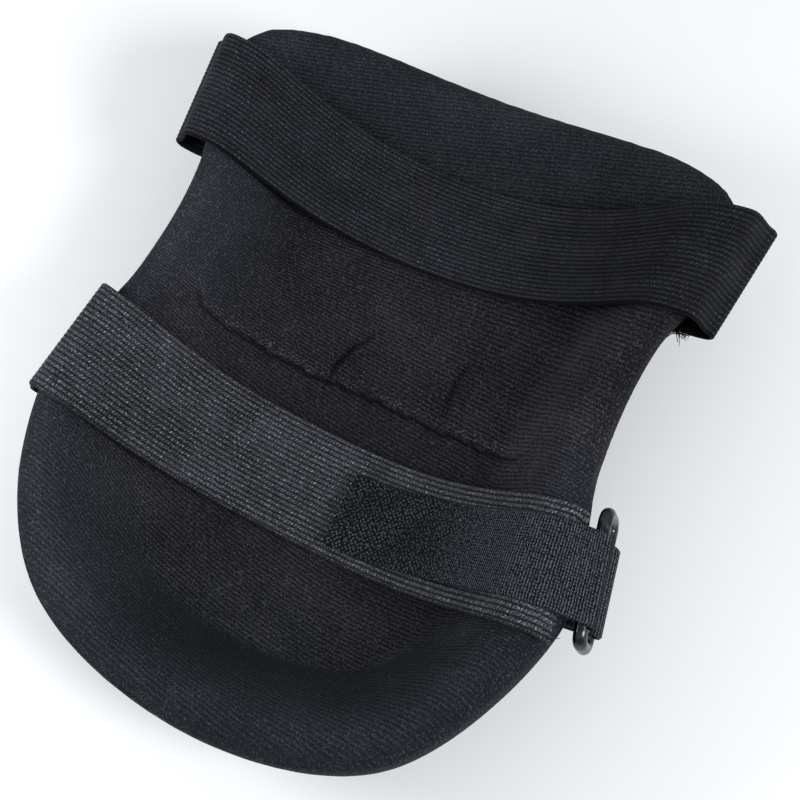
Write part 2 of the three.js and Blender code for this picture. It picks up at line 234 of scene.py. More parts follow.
def make_object(name, points, faces, smooth=True):
    mesh = bpy.data.meshes.new(name)
    mesh.from_pydata((np.asarray(points) * MM).tolist(), [], faces)
    mesh.validate()
    mesh.polygons.foreach_set("use_smooth", [smooth] * len(mesh.polygons))
    mesh.update()
    obj = bpy.data.objects.new(name, mesh)
    bpy.context.scene.collection.objects.link(obj)
    return obj


def store(obj, name, values):
    """Keeps one number for each point, for the material to read."""
    field = obj.data.attributes.new(name, "FLOAT", "POINT")
    field.data.foreach_set("value", np.asarray(values, np.float32))


def vertex_x(obj):
    places = np.empty(3 * len(obj.data.vertices))
    obj.data.vertices.foreach_get("co", places)
    return places[::3] / MM


def band_faces(loops, count):
    """Four-sided faces between a stack of closed loops of points."""
    faces = []
    for k in range(loops - 1):
        for j in range(count):
            after = (j + 1) % count
            faces.append((k * count + j, (k + 1) * count + j, (k + 1) * count + after, k * count + after))
    return faces


def lens(name, loops, upper_middle, lower_middle):
    """A closed skin from an upper middle point, over a stack of loops, to a lower middle point."""
    count = len(loops[0])
    points = np.concatenate([*loops, [upper_middle], [lower_middle]])
    faces = band_faces(len(loops), count)
    last = (len(loops) - 1) * count
    for j in range(count):
        after = (j + 1) % count
        faces.append((len(points) - 2, j, after))
        faces.append((len(points) - 1, last + after, last + j))
    return make_object(name, points, faces)


def finish_piece(obj, nodes, material):
    """Gives a piece its material and says which body it rides on and what it replaces."""
    obj.data.materials.append(material)
    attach(obj, "root")
    if nodes:
        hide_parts(*nodes)


# Materials

def new_material(name):
    material = bpy.data.materials.new(name)
    material.use_nodes = True
    tree = material.node_tree
    return material, tree, tree.nodes["Principled BSDF"]


def set_inputs(node, values):
    for name, value in values.items():
        node.inputs[name].default_value = value


def plug(tree, socket, value):
    if isinstance(value, bpy.types.NodeSocket):
        tree.links.new(value, socket)
    else:
        socket.default_value = value


def maths(tree, operation, first, second=0.0, third=0.0):
    node = tree.nodes.new("ShaderNodeMath")
    node.operation = operation
    for socket, value in zip(node.inputs, (first, second, third)):
        plug(tree, socket, value)
    return node.outputs[0]


def times(tree, first, second):
    return maths(tree, "MULTIPLY", first, second)


def times_plus(tree, first, second, third):
    return maths(tree, "MULTIPLY_ADD", first, second, third)


def wave(tree, phase):
    """A sine from 0 to 1 of a phase counted in whole waves."""
    sine = maths(tree, "SINE", times(tree, phase, 2 * math.pi))
    return times_plus(tree, sine, 0.5, 0.5)


def noise(tree, scale, detail=2.0):
    node = tree.nodes.new("ShaderNodeTexNoise")
    set_inputs(node, {"Scale": scale, "Detail": detail})
    plug(tree, node.inputs["Vector"], coordinates(tree, "Object"))
    return node.outputs["Fac"]


def coordinates(tree, kind):
    return tree.nodes.new("ShaderNodeTexCoord").outputs[kind]


def ramp(tree, value, low, high):
    """A smooth rise from 0 to 1 between two values."""
    node = tree.nodes.new("ShaderNodeMapRange")
    node.interpolation_type = "SMOOTHSTEP"
    for socket, number in zip(node.inputs, (value, low, high, 0.0, 1.0)):
        plug(tree, socket, number)
    return node.outputs[0]


def blend(tree, factor, low, high):
    """A colour between two, each of them numbers or a socket."""
    node = tree.nodes.new("ShaderNodeMix")
    node.data_type = "RGBA"
    plug(tree, node.inputs["Factor"], factor)
    for name, colour in (("A", low), ("B", high)):
        plug(tree, node.inputs[name], colour if isinstance(colour, bpy.types.NodeSocket) else (*colour, 1))
    return node.outputs["Result"]


def bump(tree, shader, height, distance, strength):
    node = tree.nodes.new("ShaderNodeBump")
    set_inputs(node, {"Strength": strength, "Distance": distance})
    plug(tree, node.inputs["Height"], height)
    tree.links.new(node.outputs["Normal"], shader.inputs["Normal"])


def stored(tree, name):
    node = tree.nodes.new("ShaderNodeAttribute")
    node.attribute_name = name
    return node.outputs["Fac"]


def with_painted_light(tree, colour):
    """The colour scaled by the painted light and shade stored on the piece."""
    node = tree.nodes.new("ShaderNodeVectorMath")
    node.operation = "SCALE"
    plug(tree, node.inputs[0], colour)
    plug(tree, node.inputs["Scale"], stored(tree, "painted_light"))
    return node.outputs[0]


def weave_places(tree):
    """Distances along and across a band, in metres."""
    split = tree.nodes.new("ShaderNodeSeparateXYZ")
    plug(tree, split.inputs[0], coordinates(tree, "UV"))
    return split.outputs["X"], split.outputs["Y"]


CLOTH_SPECULAR = 0.06
SHEEN_ROUGHNESS = 0.55
FUZZ_SCALE = 2300


def cloth_shader(shader, roughness, sheen, tint):
    set_inputs(shader, {
        "Roughness": roughness, "Specular IOR Level": CLOTH_SPECULAR,
        "Sheen Weight": sheen, "Sheen Roughness": SHEEN_ROUGHNESS, "Sheen Tint": (*tint, 1)})


# The knit: its rows in mm, what makes up its tone, and its colours. Pairs are a factor and a sum.
KNIT_PITCH = 1.35
STITCH = 0.8
SPECK_SCALE = 330
KNIT_TONE = dict(rows=0.13, stitches=0.32, flecks=0.5, fuzz=0.5, patches=(0.35, -0.42), reach=(-0.05, 0.95))
ROW_WOBBLE = 0.8
ROW_OFFSET = 0.5
STITCH_WOBBLE = 0.9
FLECK_REACH = (0.48, 0.72)
LINT_SIZE = 0.06
LINT_REACH = (0.5, 0.62)
KNIT_SHADES = dict(
    # from the gaps to the crowns of the cloth
    upper_floor=((0.005, 0.0047, 0.006), (0.0496, 0.0456, 0.0562)),
    lobe_floor=((0.005, 0.0051, 0.006), (0.0455, 0.0456, 0.053)),
    rim=((0.0068, 0.0077, 0.0095), (0.0355, 0.0406, 0.0505)),
    lower_panel=((0.0055, 0.0052, 0.0066), (0.0394, 0.0368, 0.0458)),
)
KNIT_MARKS = dict(
    # how strongly each mark covers the cloth, and its colour; lobe_foot and the crease mark are painted
    # shade, the seam's fuzz and the lint are the cloth's own
    # painted shade in the band at the foot of the lobe's wall
    lobe_foot=(0.55, (0.0075, 0.009, 0.0105)),
    seam_fuzz=(0.9, (0.095, 0.095, 0.104)),
    # painted shade in the bottoms of the seam's groove and of the wrinkles
    painted_crease_shade=(0.7, (0.003, 0.003, 0.0035)),
    lint=(0.5, (0.15, 0.15, 0.16)),
)
KNIT_SHEEN = dict(rim=(0.06, 0.05), foot=(-0.9, 1.0), tone=(0.7, 0.2), tint=(0.82, 0.92, 1.0))
KNIT_BUMP = dict(distance=0.0004, strength=0.8)
BUMP_FUZZ = 0.4


def marked(tree, cloth, mark, amount):
    """The cloth under one of the knit's marks, which is as strong there as the amount says."""
    strength, colour = KNIT_MARKS[mark]
    return blend(tree, times(tree, amount, strength), cloth, colour)


def lint_specks(tree):
    """Sparse specks that come in patches."""
    specks = tree.nodes.new("ShaderNodeTexVoronoi")
    set_inputs(specks, {"Scale": SPECK_SCALE})
    plug(tree, specks.inputs["Vector"], coordinates(tree, "Object"))
    near = maths(tree, "LESS_THAN", specks.outputs["Distance"], LINT_SIZE)
    return times(tree, near, ramp(tree, noise(tree, scale=90), *LINT_REACH))


def knit_material():
    """Brushed knit: slanting rows of short stitches, bright flecks of fuzz, and lint."""
    material, tree, shader = new_material("brushed_knit")
    wobble = times(tree, noise(tree, scale=140), ROW_WOBBLE)
    row = times_plus(tree, stored(tree, "knit_row"), 1 / KNIT_PITCH, wobble)
    along = times(tree, stored(tree, "knit_stitch"), 1 / STITCH)
    stitch = times_plus(tree, maths(tree, "FLOOR", row), ROW_OFFSET, along)
    rows = wave(tree, row)
    fuzz = noise(tree, FUZZ_SCALE)
    stitches = times(tree, rows, wave(tree, times_plus(tree, fuzz, STITCH_WOBBLE, stitch)))
    flecks = ramp(tree, noise(tree, scale=1700, detail=1.0), *FLECK_REACH)
    patches = noise(tree, scale=60, detail=3.0)
    woven = times_plus(tree, rows, KNIT_TONE["rows"], times(tree, stitches, KNIT_TONE["stitches"]))
    weave = times(tree, woven, stored(tree, "rows_shown"))
    grain = times_plus(tree, flecks, KNIT_TONE["flecks"], weave)
    rough = times_plus(tree, fuzz, KNIT_TONE["fuzz"], times_plus(tree, patches, *KNIT_TONE["patches"]))
    tone = ramp(tree, maths(tree, "ADD", grain, rough), *KNIT_TONE["reach"])
    shades = {name: blend(tree, tone, *ends) for name, ends in KNIT_SHADES.items()}
    floor = blend(tree, stored(tree, "lobe"), shades["upper_floor"], shades["lobe_floor"])
    cloth = blend(tree, stored(tree, "rim"), floor, shades["rim"])
    # painted shade along the foot of the lobe's wall
    foot_shaded = marked(tree, cloth, "lobe_foot", stored(tree, "lobe_foot"))
    panels = blend(tree, stored(tree, "lower_panel"), foot_shaded, shades["lower_panel"])
    worn = marked(tree, panels, "seam_fuzz", times(tree, stored(tree, "seam_fuzz"), flecks))
    # painted shade in the seam's groove and the wrinkles
    crease_shaded = marked(tree, worn, "painted_crease_shade", stored(tree, "painted_crease_shade"))
    final = marked(tree, crease_shaded, "lint", lint_specks(tree))
    tree.links.new(with_painted_light(tree, final), shader.inputs["Base Color"])
    cloth_shader(shader, roughness=0.97, sheen=0.0, tint=KNIT_SHEEN["tint"])
    by_rim = times_plus(tree, stored(tree, "rim"), *KNIT_SHEEN["rim"])
    by_foot = times_plus(tree, stored(tree, "lobe_foot"), *KNIT_SHEEN["foot"])
    by_tone = times_plus(tree, tone, *KNIT_SHEEN["tone"])
    sheen = times(tree, by_tone, times(tree, by_rim, by_foot))
    tree.links.new(sheen, shader.inputs["Sheen Weight"])
    bump(tree, shader, maths(tree, "ADD", grain, times(tree, fuzz, BUMP_FUZZ)), **KNIT_BUMP)
    return material


# The elastic: slant and wobble of its threads in waves, what makes up its tone, and its colours.
RIB_OFFSET = 0.37
THREAD_SLANT = 0.9
THREAD_WOBBLE = 1.5
THREAD_REACH = (0.15, 0.85)
CROWN_PHASE = -0.25
ELASTIC_TONE = dict(knots=0.65, fuzz=1.6, patches=(0.5, -1.0), reach=(-0.15, 1.05))
THREADS_IN_KNOTS = (0.75, 0.25)
GLINT_REACH = (0.55, 0.72)
GLINT_STRENGTH = 0.75
BAND_SHEEN = dict(roughness=0.8, sheen=0.02, tint=(0.8, 0.88, 1.0))
ELASTIC_BUMP = dict(distance=0.0003, strength=0.8)
UPPER_ELASTIC = dict(
    name="upper_ribbed_elastic", ribs=TOP_RIBS, crown_reach=(0.18, 0.75),
    dark=(0.003, 0.0032, 0.004), light=(0.0285, 0.029, 0.037), glint=(0.072, 0.074, 0.085))
LOWER_ELASTIC = dict(
    name="lower_ribbed_elastic", ribs=LOW_RIBS, crown_reach=(0.08, 0.65),
    dark=(0.0046, 0.0049, 0.0062), light=(0.08, 0.0838, 0.0975), glint=(0.29, 0.3, 0.32))


def elastic_material(name, ribs, crown_reach, dark, light, glint):
    """Ribbed elastic: ribs along the strap, each crossed by fine slanting threads."""
    material, tree, shader = new_material(name)
    along, across = weave_places(tree)
    rib = times(tree, across, ribs / (ELASTIC_WIDTH * MM))
    offset = times_plus(tree, maths(tree, "FLOOR", rib), RIB_OFFSET, times(tree, rib, THREAD_SLANT))
    wobble = times(tree, noise(tree, scale=900), THREAD_WOBBLE)
    thread = maths(tree, "ADD", times_plus(tree, along, 1 / THREAD_PITCH, offset), wobble)
    threads = ramp(tree, wave(tree, thread), *THREAD_REACH)
    crown = ramp(tree, wave(tree, maths(tree, "ADD", rib, CROWN_PHASE)), *crown_reach)
    fuzz = noise(tree, FUZZ_SCALE)
    patches = noise(tree, scale=80)
    knots = times(tree, crown, times_plus(tree, threads, *THREADS_IN_KNOTS))
    rough = times_plus(tree, fuzz, ELASTIC_TONE["fuzz"], times_plus(tree, patches, *ELASTIC_TONE["patches"]))
    tone = ramp(tree, times_plus(tree, knots, ELASTIC_TONE["knots"], rough), *ELASTIC_TONE["reach"])
    glints = times(tree, knots, ramp(tree, noise(tree, scale=1500, detail=1.0), *GLINT_REACH))
    woven = blend(tree, tone, dark, light)
    glinting = blend(tree, times(tree, glints, GLINT_STRENGTH), woven, glint)
    tree.links.new(with_painted_light(tree, glinting), shader.inputs["Base Color"])
    cloth_shader(shader, **BAND_SHEEN)
    bump(tree, shader, maths(tree, "ADD", knots, times(tree, fuzz, BUMP_FUZZ)), **ELASTIC_BUMP)
    return material


# The webbing: its hooks, what makes up its tone, and its colours.
WEBBING_WOBBLE = 0.4
WEBBING_TONE = dict(weave=0.8, fuzz=(2.6, -1.3), reach=(0.1, 1.0))
HOOK_SCATTER = 0.55
HOOK_REACH = (0.5, 0.95)
SPOT_REACH = (0.45, 0.62)
SPOT_STRENGTH = 0.4
FOLD_STRENGTH = 0.85
WEBBING_SHADES = ((0.0026, 0.0032, 0.0042), (0.112, 0.128, 0.152))
HOOK_SHADES = ((0.0018, 0.0021, 0.0027), (0.088, 0.099, 0.117))
SPOT_COLOUR = (0.005, 0.005, 0.006)
FOLD_COLOUR = (0.003, 0.0035, 0.004)
WEBBING_BUMP = dict(distance=0.0004, strength=0.9)
WEBBING_BUMP_FUZZ = 0.5


def hook_dots(tree, along, across):
    """Rows of small hooks on a slanting lattice."""
    lattice = tree.nodes.new("ShaderNodeCombineXYZ")
    for axis, slant in (("X", 1), ("Y", -1)):
        place = times_plus(tree, along, 1 / HOOK_PITCH, times(tree, across, slant / HOOK_PITCH))
        plug(tree, lattice.inputs[axis], place)
    dots = tree.nodes.new("ShaderNodeTexVoronoi")
    dots.voronoi_dimensions = "2D"
    set_inputs(dots, {"Scale": 1.0, "Randomness": HOOK_SCATTER})
    tree.links.new(lattice.outputs[0], dots.inputs["Vector"])
    return ramp(tree, maths(tree, "SUBTRACT", 1.0, dots.outputs["Distance"]), *HOOK_REACH)


def webbing_material():
    """Webbing: ribs across it near the ring, and a rough hook patch towards the tail's tip."""
    material, tree, shader = new_material("hook_webbing")
    along, across = weave_places(tree)
    wobble = times(tree, noise(tree, scale=600), WEBBING_WOBBLE)
    ribs = wave(tree, times_plus(tree, along, 1 / WEBBING_RIB, wobble))
    threads = wave(tree, times_plus(tree, across, 1 / WEBBING_THREAD, wobble))
    woven = times(tree, ribs, times_plus(tree, threads, 0.5, 0.5))
    hooks = hook_dots(tree, along, across)
    patch = stored(tree, "hook_patch")
    fuzz = noise(tree, scale=2600)
    plain_weave = times(tree, woven, maths(tree, "SUBTRACT", 1.0, patch))
    weave = maths(tree, "ADD", plain_weave, times(tree, hooks, patch))
    speckle = times_plus(tree, fuzz, *WEBBING_TONE["fuzz"])
    tone = ramp(tree, times_plus(tree, weave, WEBBING_TONE["weave"], speckle), *WEBBING_TONE["reach"])
    plain = blend(tree, tone, *WEBBING_SHADES)
    rough = blend(tree, tone, *HOOK_SHADES)
    spots = times(tree, patch, ramp(tree, noise(tree, scale=75), *SPOT_REACH))
    hooked = blend(tree, times(tree, spots, SPOT_STRENGTH), rough, SPOT_COLOUR)
    fold = times(tree, stored(tree, "fold_shade"), FOLD_STRENGTH)
    shaded = blend(tree, fold, blend(tree, patch, plain, hooked), FOLD_COLOUR)
    tree.links.new(shaded, shader.inputs["Base Color"])
    cloth_shader(shader, **BAND_SHEEN)
    bump(tree, shader, maths(tree, "ADD", weave, times(tree, fuzz, WEBBING_BUMP_FUZZ)), **WEBBING_BUMP)
    return material


# Hard pieces: scale and detail of the noise of their wear and grain, and what the wear does.
DARK_WIRE = dict(
    name="dark_wire", metallic=1.0, wear=(500, 4.0), grain=(500, 4.0),
    reach=(0.35, 0.75), roughness=(0.25, 0.12),
    shades=((0.03, 0.031, 0.034), (0.085, 0.087, 0.092)), relief=dict(distance=0.00005, strength=0.5))
MOULDED_SHELL = dict(
    name="moulded_shell", metallic=0.0, wear=(45, 5.0), grain=(1500, 2.0),
    reach=(0.45, 0.75), roughness=(0.3, 0.3),
    shades=((0.011, 0.011, 0.012), (0.024, 0.024, 0.026)), relief=dict(distance=0.00012, strength=0.6))


def hard_material(name, metallic, wear, grain, reach, roughness, shades, relief):
    """Metal or plastic with faint rub marks and a fine grain."""
    material, tree, shader = new_material(name)
    worn = noise(tree, *wear)
    tree.links.new(blend(tree, ramp(tree, worn, *reach), *shades), shader.inputs["Base Color"])
    tree.links.new(times_plus(tree, worn, *roughness), shader.inputs["Roughness"])
    set_inputs(shader, {"Metallic": metallic})
    bump(tree, shader, noise(tree, *grain), **relief)
    return material


# The foam pad with its seam, wrinkles and grooves

# Edge of the raised upper panel in plan: up the left side, along the seam and up the right side.
PANEL_EDGE = [
    (-62, 54), (-61, 38), (-60.5, 20), (-59.5, 8), (-56, 2.2), (-43, 2.1), (-29, 1.6), (-15, 1.6), (-5, 2.5),
    (10, 1.7), (23, 0.8), (37, 0.3), (50, -1), (54.5, 0.5), (56, 8), (57, 22), (59, 36), (63, 47), (67, 55),
]
SEAM_TAIL = [(-86, -5), (-72, -4.2), (-62, -1.5), (-56, 1.6)]
WRINKLES = [
    # points in plan from the seam upwards, depth in mm
    ([(-16, 2.5), (-16.2, 7), (-14.6, 11.4), (-13.4, 15.2), (-10.6, 19), (-9.7, 23.6)], 2.0),
    ([(24.8, 2), (22.9, 11.5), (22.3, 19.3), (24.8, 26.6)], 1.6),
]


def to_path(x, y, path):
    """Distance from a path in plan, signed by side, and the share of the way along it."""
    best = np.full(x.shape, np.inf)
    sign = np.ones(x.shape)
    share = np.zeros(x.shape)
    for i in range(len(path) - 1):
        a, b = np.array(path[i], float), np.array(path[i + 1], float)
        side = b - a
        along = np.clip(((x - a[0]) * side[0] + (y - a[1]) * side[1]) / (side @ side), 0, 1)
        off_x, off_y = x - a[0] - along * side[0], y - a[1] - along * side[1]
        gap = np.hypot(off_x, off_y)
        nearer = gap < best
        best = np.where(nearer, gap, best)
        sign = np.where(nearer, np.sign(side[0] * off_y - side[1] * off_x), sign)
        share = np.where(nearer, (i + along) / (len(path) - 1), share)
    return best * sign, share


# Heights, lengths and phases of the seam's wander.
SEAM_WAVES = [(0.3, 2.4, 1), (0.22, 1.1, 0), (0.15, 0.7, 0)]
# Shares of the panel's edge between which the edge and its seam come in and die away.
SEAM_BEGINS = (0.16, 0.24)
SEAM_ENDS = (0.66, 0.74)
EDGE_BEGINS = (0.0, 0.1)
EDGE_ENDS = (0.9, 1.0)
SIDE_SHARPNESS = 0.22
# The panel's lip with the groove beside it. The folds beside a path have a height, a place and a width.
LIP_HEIGHT = 0.6
LIP_RUN = 9
LIP_FACE = 0.4
PUCKER = dict(least=0.1, more=0.35, place=0.9, width=0.9)
GROOVE = [(-1.5, -0.6, 0.6)]
SEAM_TAIL_FOLDS = [(0.6, 0.8, 1.2), (-0.8, -0.8, 0.8)]
WRINKLE_WIDTH = 1.3
WRINKLE_FOLDS = [(0.85, -2.6, 1.9), (-1, 0, WRINKLE_WIDTH), (-0.3, 3.5, 3)]
UNEVEN_HEIGHT = 0.3
# Where painted shade darkens the bottoms of the folds.
CREASE_SHARPNESS = (0.4, 0.9)
CREASE = [(1, -0.55, 0.6)]
DARKEST_DEPTH = 3.4


def seam_wander(x):
    return sum(height * np.sin(x / length + phase) for height, length, phase in SEAM_WAVES)


def panel_offset(x, y):
    """Distance inside the upper panel's edge, below zero outside it, and how sharp the edge is there."""
    gap, share = to_path(x, y, PANEL_EDGE)
    along_seam = smoothstep(share, *SEAM_BEGINS) * (1 - smoothstep(share, *SEAM_ENDS))
    ends = smoothstep(share, *EDGE_BEGINS) * (1 - smoothstep(share, *EDGE_ENDS))
    return gap - seam_wander(x) * along_seam, lerp(SIDE_SHARPNESS, 1, along_seam) * ends


def folds(gap, table):
    """Ridges and grooves beside a path."""
    return sum(height * bell(gap - place, width) for height, place, width in table)


def wrinkle_strength(share):
    """How strong a wrinkle is along its path: weaker towards both ends."""
    return np.sin(math.pi * np.clip(0.12 + 0.8 * share, 0, 1))


def pad_relief(x, y):
    """Low relief on the wearer's side: the panel's lip and seam, wrinkles and an uneven hand."""
    off, sharp = panel_offset(x, y)
    puckers = 0.5 + 0.5 * np.sin(x / 0.9 + 2 * np.sin(x / 5)) * np.sin(x / 2.3)
    step = np.where(off > 0, np.exp(-np.maximum(off, 0) / LIP_RUN), np.exp(np.minimum(off, 0) / LIP_FACE))
    pucker = (PUCKER["least"] + PUCKER["more"] * puckers) * bell(off - PUCKER["place"], PUCKER["width"])
    relief = sharp * (LIP_HEIGHT * step + pucker + folds(off, GROOVE))
    tail_gap, tail_share = to_path(x, y, SEAM_TAIL)
    relief = relief + np.sin(math.pi * tail_share) * folds(tail_gap, SEAM_TAIL_FOLDS)
    for path, depth in WRINKLES:
        gap, share = to_path(x, y, path)
        relief = relief + depth * wrinkle_strength(share) * folds(gap, WRINKLE_FOLDS)
    uneven = np.sin(x / 17 + 0.7) * np.sin(y / 21 + 1.9) + 0.6 * np.sin(x / 9 + y / 13)
    return relief + UNEVEN_HEIGHT * uneven


def crease_shade(x, y):
    """How strong the painted shade in the bottoms of the seam's groove and of the wrinkles is, fading to 0
    beside them.
    """
    off, sharp = panel_offset(x, y)
    shade = smoothstep(sharp, *CREASE_SHARPNESS) * folds(off, CREASE)
    for path, depth in WRINKLES:
        gap, share = to_path(x, y, path)
        wrinkle = depth / DARKEST_DEPTH * wrinkle_strength(share) * bell(gap, WRINKLE_WIDTH)
        shade = np.maximum(shade, wrinkle)
    return shade


# Slant of the knit's rows in degrees at both ends of a stretch of Y, and how they climb the walls.
KNIT_SLANT = (-9, 14)
KNIT_SLANT_STRETCH = (-10, 95)
KNIT_CLIMB = 0.45
KNIT_CLIMB_RUN = 60


def knit_directions(points):
    """Distances across and along the knit's rows, which turn towards the upper edge and climb the walls."""
    x, y, z = points.T
    turn = np.radians(lerp(*KNIT_SLANT, smoothstep(y, *KNIT_SLANT_STRETCH)))
    climb = KNIT_CLIMB * (z - FLOOR_LEVEL)
    row = y * np.cos(turn) - x * np.sin(turn) + climb * np.clip((y - CENTRE_Y) / KNIT_CLIMB_RUN, -1, 1)
    stitch = x * np.cos(turn) + y * np.sin(turn) + climb * np.clip(x / KNIT_CLIMB_RUN, -1, 1)
    return row, stitch


def carry_round(values, edge):
    """Distances that carry on round the pad's edge, the loop numbered edge, instead of turning back there."""
    carried = values.copy()
    loops = carried[:-2].reshape(-1, len(outline))
    loops[edge + 1:] = 2 * loops[edge] - loops[edge + 1:]
    return carried


def ray_loop(share, level, inset=EDGE_ROUND):
    """The outline drawn in along rays from the middle of the seam, with heights from a level function."""
    arm = outline - (0, CENTRE_Y)
    length = np.hypot(arm[:, 0], arm[:, 1])
    plan = arm * ((length - inset) * share / length)[:, None] + (0, CENTRE_Y)
    return np.column_stack([plan, level(plan[:, 0], plan[:, 1])])


RELIEF_IN = (1, 6)


def relieved_level(x, y):
    return inner_level(x, y) + pad_relief(x, y) * smoothstep(in_from_edge(x, y), *RELIEF_IN)


def edge_loops(upper, lower, inset, steps):
    """Rounds the rim from the last upper loop to the first lower one."""
    out = outline - (0, CENTRE_Y)
    out = out / np.hypot(out[:, 0], out[:, 1])[:, None]
    loops = []
    for i in range(1, steps):
        turn = math.pi * i / steps
        height = lerp(lower[:, 2], upper[:, 2], 0.5 + 0.5 * math.cos(turn))
        plan = lerp(upper[:, :2], lower[:, :2], i / steps) + out * inset * math.sin(turn)
        loops.append(np.column_stack([plan, height]))
    return loops


def middle_point(level):
    """The middle of the seam on a level function."""
    return (0.0, CENTRE_Y, float(level(np.array([0.0]), np.array([CENTRE_Y]))[0]))


# Places in mm between which the knit's marks and its painted light and shade come in or die away.
REACH = dict(
    inside=(6, 16), rim=(14, 36), rows=(2, 8), lobe=(-45, -20),
    panel_edge=(-0.6, 0.2), panel_top=(4, 9), panel_low=(-75, -30),
    right_x=(25, 55), right_low=(-8, 8), right_high=(65, 90),
    foot_in=(-3, 3), foot_out=(10, 23), foot_left=(5, 60),
    left_x=(15, 65), wall_x=(52, 72), wall_y=(-5, 25), left_high=(30, 90),
    dark_x=(0, 60), dark_y=(40, 85),
    low_x=(8, 55), low_high=(2, 28), low_lobe=(-45, -12))
# Strengths of the painted light and shade on the pad: lighter all over, at the left and the lower right,
# darker at the upper right.
PAINTED_LIGHT = dict(
    all_over=1.24, left=0.42, wall=2, left_high=0.7, upper_right=0.32, low_right=0.42, lobe_right=0.15)
LEAST_ABOVE_FRONT = 4
RIGHT_RIM_LOSS = 0.75
SEAM_FUZZ = dict(place=1.6, width=1.5, least=0.1)
LEFT_FOOT_SHADE_LOSS = 0.65
FOOT_SHADE_RUN = 12
LEAST_ROWS = 0.4
PAD_LOOPS = np.linspace(0.01, 1, 150)
PAD_CROWDING = 1.1
FRONT_LOOPS = np.linspace(1, 0.05, 16)
PAD_EDGE_STEPS = 9
FUZZ_SEED = 11
FUZZ_AIM = (0.4, 0.4, 1)
SHELL_LOOPS = np.linspace(0.03, SHELL_SHARE, 40)
SHELL_EDGE_STEPS = 7


def rise(value, reach):
    return smoothstep(value, *REACH[reach])


def fall(value, reach):
    return 1 - smoothstep(value, *REACH[reach])


def pad_painted_light(x, y):
    """Painted light and shade on the cloth: painted lighter at the left and the lower right, painted darker
    at the upper right.
    """
    left = lerp(rise(-x, "left_x"), PAINTED_LIGHT["wall"] * rise(-x, "wall_x"), rise(y, "wall_y"))
    left = left * (1 - PAINTED_LIGHT["left_high"] * rise(y, "left_high"))
    upper_right = rise(x, "dark_x") * rise(y, "dark_y")
    low_right = rise(x, "low_x") * fall(y, "low_high")
    low_right = low_right * lerp(PAINTED_LIGHT["lobe_right"], 1, rise(y, "low_lobe"))
    lighter = PAINTED_LIGHT["all_over"] + PAINTED_LIGHT["left"] * left
    return lighter - PAINTED_LIGHT["upper_right"] * upper_right + PAINTED_LIGHT["low_right"] * low_right


def mark_pad(pad, points, edge):
    """Stores for the knit where its panels, marks and painted light and shade are and how its rows run."""
    x, y, z = points.T
    depth = in_from_edge(x, y)
    off, sharp = panel_offset(x, y)
    on_top = z > FOAM_BOTTOM + LEAST_ABOVE_FRONT
    inside = rise(depth, "inside") * on_top
    store(pad, "lower_panel", fall(off, "panel_edge") * fall(y, "panel_top") * rise(y, "panel_low") * inside)
    right_side = rise(x, "right_x") * rise(y, "right_low") * fall(y, "right_high")
    store(pad, "rim", fall(depth, "rim") * (1 - RIGHT_RIM_LOSS * right_side))
    worn = np.maximum(0.45 + 0.55 * np.sin(x / 7 + 1) * np.sin(x / 3.1), SEAM_FUZZ["least"])
    store(pad, "seam_fuzz", bell(off - SEAM_FUZZ["place"], SEAM_FUZZ["width"]) * sharp * inside * worn)
    # Painted shade in a band at the foot of the lobe's wall, weaker to the left, only on the wearer's side.
    from_foot = LOBE_END_FOOT_IN - depth
    foot = rise(from_foot, "foot_in") * fall(from_foot, "foot_out") * in_lobe_end(y, FOOT_SHADE_RUN)
    store(pad, "lobe_foot", foot * (1 - LEFT_FOOT_SHADE_LOSS * rise(-x, "foot_left")) * on_top)
    # painted light and shade across the pad's cloth
    store(pad, "painted_light", pad_painted_light(x, y))
    store(pad, "lobe", fall(y, "lobe"))
    # painted shade in the bottoms of the seam's groove and of the wrinkles
    store(pad, "painted_crease_shade", crease_shade(x, y) * inside)
    row, stitch = knit_directions(points)
    on_face = np.arange(len(points)) < edge * len(outline)
    store(pad, "rows_shown", LEAST_ROWS + (1 - LEAST_ROWS) * on_face * rise(depth, "rows"))
    store(pad, "knit_row", carry_round(row, edge))
    store(pad, "knit_stitch", carry_round(stitch, edge))


def make_pad(material):
    upper = [ray_loop(share, relieved_level) for share in 1 - (1 - PAD_LOOPS) ** PAD_CROWDING]
    lower = [ray_loop(share, front_level) for share in FRONT_LOOPS]
    rounding = edge_loops(upper[-1], lower[0], EDGE_ROUND, PAD_EDGE_STEPS)
    top = middle_point(relieved_level)
    bottom = middle_point(front_level)
    fuzz_shape = (len(upper) + len(rounding), len(outline), 1)
    fuzz = np.random.default_rng(FUZZ_SEED).normal(0, KNIT_FUZZ, fuzz_shape)
    soft = [loop + fuzz[i] * FUZZ_AIM for i, loop in enumerate([*upper, *rounding])]
    pad = lens("knit_pad", [*soft, *lower], top, bottom)
    points = np.concatenate([*soft, *lower, [top], [bottom]])
    mark_pad(pad, points, len(upper) + len(rounding) // 2)
    finish_piece(pad, ["foam_pad"], material)


def shell_inside(x, y):
    return front_level(x, y) - CLEARANCE


def shell_outside(x, y):
    return shell_inside(x, y) - SHELL_THICKNESS


def make_shell(material):
    upper = [ray_loop(share, shell_inside, 0) for share in SHELL_LOOPS]
    lower = [ray_loop(share, shell_outside, 0) for share in SHELL_LOOPS[::-1]]
    rounding = edge_loops(upper[-1], lower[0], SHELL_EDGE_ROUND, SHELL_EDGE_STEPS)
    loops = [*upper, *rounding, *lower]
    shell = lens("moulded_cap", loops, middle_point(shell_inside), middle_point(shell_outside))
    finish_piece(shell, ["hard_shell"], material)


# Straps, tail and tab

